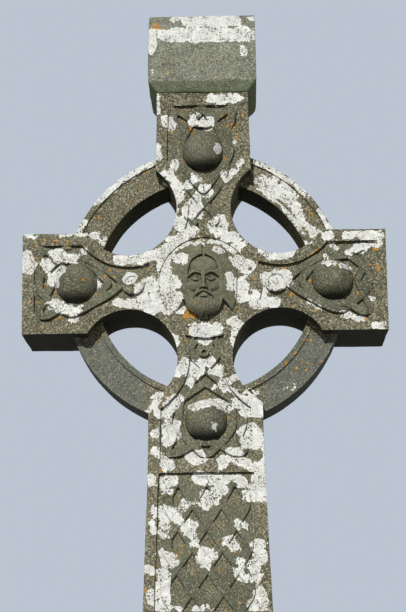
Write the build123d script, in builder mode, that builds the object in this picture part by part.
"""Ringed stone cross grave marker: carved cross, splayed capstone and plinth.

The origin is at ground level in the middle of the plinth. X runs along the arms,
-Y is the carved front and Z is up. Lengths are millimetres.
"""
from build123d import *
from math import atan2, cos, sin
import os

os.makedirs("parts", exist_ok=True)

# Plinth: a block with battered sides and a splayed top.
plinth_width = 760
plinth_depth = 640
plinth_height = 450
plinth_batter = 28
plinth_splay_height = 55
plinth_ledge = 32

# Cross: heights are measured from the middle line of the arms.
shaft_length = 1450
shaft_foot_width = 398
shaft_break_drop = 540
shaft_break_width = 327
shaft_head_width = 310
neck_rise = 567
neck_root_width = 291
neck_top_width = 266
arm_span = 1040
arm_height = 295
cross_depth = 248

# Round hollows where the arms meet the shaft.
hollow_radius = 137.5
hollow_offset_x = 215.5
hollow_offset_z = 217.5

# Ring, set back from both faces, with a raised rim along each edge.
ring_outer_radius = 405.5
ring_inner_radius = 311.5
ring_thickness = 150
ring_rim_width = 18
ring_field_depth = 6

# Bosses and the central head.
boss_radius = 58
boss_height = 44
boss_arm_offset = 365
boss_neck_rise = 389
boss_shaft_drop = 399
roundel_radius = 129
roundel_depth = 5
head_half_width = 66
head_half_height = 104
head_relief = 52

# Sunk shaft panel filled with a six-strand plait.
panel_top_drop = 547
panel_bottom_drop = 1300
panel_border = 32
panel_depth = 9
strand_count = 6
strand_width = 28
strand_inset = 14
plait_rows = 12

# Capstone: splayed soffit, slightly battered walls, a splay along the top and a low crown.
cap_overhang_x = 26
cap_overhang_y = 19
cap_soffit_height = 31
cap_wall_height = 171
cap_wall_batter_x = 2.5
cap_wall_batter_y = 16
cap_splay_run = 36
cap_splay_rise = 50
cap_crown_rise = 14

# Heights and depths that follow from the sizes above.
arm_line = plinth_height + shaft_length
front = cross_depth / 2
ring_front = ring_thickness / 2
bed_height = arm_line + neck_rise


def shaft_half_width(drop):
    """Half width of the shaft at a drop below the arm line."""
    if drop < shaft_break_drop:
        share = drop / shaft_break_drop
        return (shaft_head_width + share * (shaft_break_width - shaft_head_width)) / 2
    share = (drop - shaft_break_drop) / (shaft_length - shaft_break_drop)
    return (shaft_break_width + share * (shaft_foot_width - shaft_break_width)) / 2


def panel_half_width(drop):
    """Half width of the sunk panel, which keeps an even border on the tapered shaft."""
    return shaft_half_width(drop) - panel_border


def plait_point(column, row):
    """Place on the plait's lattice, in the plane of the front face."""
    top = panel_top_drop + strand_inset
    bottom = panel_bottom_drop - strand_inset
    drop = top + (bottom - top) * row / plait_rows
    reach = panel_half_width(drop) - strand_inset
    return reach * (2 * column / strand_count - 1), arm_line - drop


def strand_piece(start, end):
    """Corners of the straight band that joins two lattice points."""
    slope = atan2(end[1] - start[1], end[0] - start[0])
    side_x = -sin(slope) * strand_width / 2
    side_z = cos(slope) * strand_width / 2
    return [
        (start[0] + side_x, start[1] + side_z),
        (start[0] - side_x, start[1] - side_z),
        (end[0] - side_x, end[1] - side_z),
        (end[0] + side_x, end[1] + side_z),
    ]


def plait_pieces():
    """Every straight band of the plait, between neighbouring lattice points."""
    pieces = []
    for row in range(plait_rows):
        for column in range(strand_count + 1):
            if (column + row) % 2 == 0:
                continue
            for step in (-1, 1):
                if 0 <= column + step <= strand_count:
                    start = plait_point(column, row)
                    end = plait_point(column + step, row + 1)
                    pieces.append(strand_piece(start, end))
    return pieces


# The ring is one round band with its field sunk between the rims on both faces.
with BuildPart() as ring:
    with BuildSketch(Plane.XZ):
        with Locations((0, arm_line)):
            Circle(ring_outer_radius)
            Circle(ring_inner_radius, mode=Mode.SUBTRACT)
    extrude(amount=ring_front, both=True)
    for side in (1, -1):
        with BuildSketch(Plane.XZ.offset(side * ring_front)):
            with Locations((0, arm_line)):
                Circle(ring_outer_radius - ring_rim_width)
                Circle(ring_inner_radius + ring_rim_width, mode=Mode.SUBTRACT)
        extrude(amount=-side * ring_field_depth, mode=Mode.SUBTRACT)

with BuildPart() as cross:
    # Front outline of shaft, neck and arms, with the four hollows taken out.
    with BuildSketch(Plane.XZ):
        with BuildLine():
            Polyline(
                (-shaft_foot_width / 2, plinth_height),
                (shaft_foot_width / 2, plinth_height),
                (shaft_break_width / 2, arm_line - shaft_break_drop),
                (shaft_head_width / 2, arm_line),
                (-shaft_head_width / 2, arm_line),
                (-shaft_break_width / 2, arm_line - shaft_break_drop),
                close=True,
            )
        make_face()
        with BuildLine():
            Polyline(
                (-neck_root_width / 2, arm_line),
                (neck_root_width / 2, arm_line),
                (neck_top_width / 2, bed_height),
                (-neck_top_width / 2, bed_height),
                close=True,
            )
        make_face()
        with Locations((0, arm_line)):
            Rectangle(arm_span, arm_height)
            with GridLocations(2 * hollow_offset_x, 2 * hollow_offset_z, 2, 2):
                Circle(hollow_radius, mode=Mode.SUBTRACT)
    extrude(amount=front, both=True)
    add(ring.part)

    # Central roundel, sunk into the front.
    with BuildSketch(Plane.XZ.offset(front)):
        with Locations((0, arm_line)):
            Circle(roundel_radius)
    extrude(amount=-roundel_depth, mode=Mode.SUBTRACT)

    # Shaft panel: the ground between the strands is cut away.
    with BuildSketch(Plane.XZ.offset(front)):
        top_half = panel_half_width(panel_top_drop)
        bottom_half = panel_half_width(panel_bottom_drop)
        with BuildLine():
            Polyline(
                (-bottom_half, arm_line - panel_bottom_drop),
                (bottom_half, arm_line - panel_bottom_drop),
                (top_half, arm_line - panel_top_drop),
                (-top_half, arm_line - panel_top_drop),
                close=True,
            )
        make_face()
        for corners in plait_pieces():
            Polygon(*corners, align=None, mode=Mode.SUBTRACT)
    extrude(amount=-panel_depth, mode=Mode.SUBTRACT)

    # One domed boss on each limb.
    boss_sphere = (boss_radius**2 + boss_height**2) / (2 * boss_height)
    boss_centre_y = boss_sphere - boss_height - front
    with Locations(
        (-boss_arm_offset, boss_centre_y, arm_line),
        (boss_arm_offset, boss_centre_y, arm_line),
        (0, boss_centre_y, arm_line + boss_neck_rise),
        (0, boss_centre_y, arm_line - boss_shaft_drop),
    ):
        Sphere(boss_sphere)

    # Egg-shaped head in the roundel, standing proud of the face.
    with BuildSketch(Plane.YZ):
        with Locations((head_half_width - head_relief - front, arm_line)):
            Ellipse(head_half_width, head_half_height)
            with Locations((head_half_width, 0)):
                Rectangle(2 * head_half_width, 2 * head_half_height, mode=Mode.SUBTRACT)
    head_axis = Axis((0, head_half_width - head_relief - front, arm_line), (0, 0, 1))
    revolve(axis=head_axis, revolution_arc=360)

# The capstone is its side outline crossed with its front outline, so its edges mitre.
with BuildPart() as capstone:
    soffit_top = bed_height + cap_soffit_height
    eaves = soffit_top + cap_wall_height
    crown_edge = eaves + cap_splay_rise
    crown = crown_edge + cap_crown_rise
    bed_half_x = neck_top_width / 2
    wall_half_x = bed_half_x + cap_overhang_x
    wall_half_y = front + cap_overhang_y
    eaves_half_y = wall_half_y - cap_wall_batter_y
    with BuildSketch(Plane.YZ):
        with BuildLine():
            Polyline(
                (-front, bed_height),
                (-wall_half_y, soffit_top),
                (-eaves_half_y, eaves),
                (-eaves_half_y + cap_splay_run, crown_edge),
                (0, crown),
                (eaves_half_y - cap_splay_run, crown_edge),
                (eaves_half_y, eaves),
                (wall_half_y, soffit_top),
                (front, bed_height),
                close=True,
            )
        make_face()
    extrude(amount=wall_half_x, both=True)
    with BuildSketch(Plane.XZ):
        with BuildLine():
            Polyline(
                (-bed_half_x, bed_height),
                (-wall_half_x, soffit_top),
                (-wall_half_x + cap_wall_batter_x, crown),
                (wall_half_x - cap_wall_batter_x, crown),
                (wall_half_x, soffit_top),
                (bed_half_x, bed_height),
                close=True,
            )
        make_face()
    extrude(amount=wall_half_y, both=True, mode=Mode.INTERSECT)

# The plinth is made the same way, with its top splay ending round the shaft's foot.
with BuildPart() as plinth:
    splay_foot = plinth_height - plinth_splay_height
    top_half_x = shaft_foot_width / 2 + plinth_ledge
    top_half_y = front + plinth_ledge
    with BuildSketch(Plane.YZ):
        with BuildLine():
            Polyline(
                (-plinth_depth / 2, 0),
                (-plinth_depth / 2 + plinth_batter, splay_foot),
                (-top_half_y, plinth_height),
                (top_half_y, plinth_height),
                (plinth_depth / 2 - plinth_batter, splay_foot),
                (plinth_depth / 2, 0),
                close=True,
            )
        make_face()
    extrude(amount=plinth_width / 2, both=True)
    with BuildSketch(Plane.XZ):
        with BuildLine():
            Polyline(
                (-plinth_width / 2, 0),
                (-plinth_width / 2 + plinth_batter, splay_foot),
                (-top_half_x, plinth_height),
                (top_half_x, plinth_height),
                (plinth_width / 2 - plinth_batter, splay_foot),
                (plinth_width / 2, 0),
                close=True,
            )
        make_face()
    extrude(amount=plinth_depth / 2, both=True, mode=Mode.INTERSECT)

cross.part.label = "cross"
export_step(cross.part, "parts/cross.step")
capstone.part.label = "capstone"
export_step(capstone.part, "parts/capstone.step")
plinth.part.label = "plinth"
export_step(plinth.part, "parts/plinth.step")
